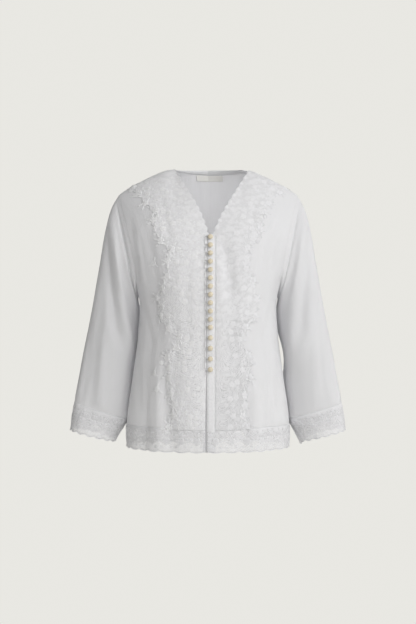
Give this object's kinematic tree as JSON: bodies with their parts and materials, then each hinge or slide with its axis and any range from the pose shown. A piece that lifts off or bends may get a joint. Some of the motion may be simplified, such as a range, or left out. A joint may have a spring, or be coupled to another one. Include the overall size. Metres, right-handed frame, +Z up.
{
  "type": "lace blouse",
  "caption": "White cotton voile blouse with flower lace fronts, scalloped V neck, lace hem and cuffs, and ball buttons, in its worn hollow form.",
  "frame": {"origin": "between the two neck points, at the height where the shoulders carry the blouse", "axes": "+Z up, -Y out of the front, +X to the wearer's left"},
  "size_m": [0.5992, 0.2448, 0.6096],
  "materials": {
    "cotton": "fine plain-weave cotton voile, matt, slightly see-through",
    "lace": "white cotton lace with raised flowers and leaves, matt",
    "button": "cream satin-covered ball buttons, soft gloss",
    "label": "woven cream label, bare"
  },
  "bodies": {
    "root": {"front_right": "cotton", "front_left": "cotton", "back": "cotton", "sleeve_right": "cotton", "sleeve_left": "cotton", "flower_lace_right": "lace", "flower_lace_left": "lace", "neck_edging_right": "lace", "neck_edging_left": "lace", "neck_binding_back": "cotton", "hem_lace_right": "lace", "hem_lace_left": "lace", "hem_lace_back": "lace", "cuff_lace_right": "lace", "cuff_lace_left": "lace", "button_stand": "cotton", "button_01": "button", "button_02": "button", "button_03": "button", "button_04": "button", "button_05": "button", "button_06": "button", "button_07": "button", "button_08": "button", "button_09": "button", "button_10": "button", "button_11": "button", "button_12": "button", "button_13": "button", "button_14": "button", "button_15": "button", "button_16": "button", "loop_braid": "lace", "neck_label": "label"}
  },
  "joints": []
}
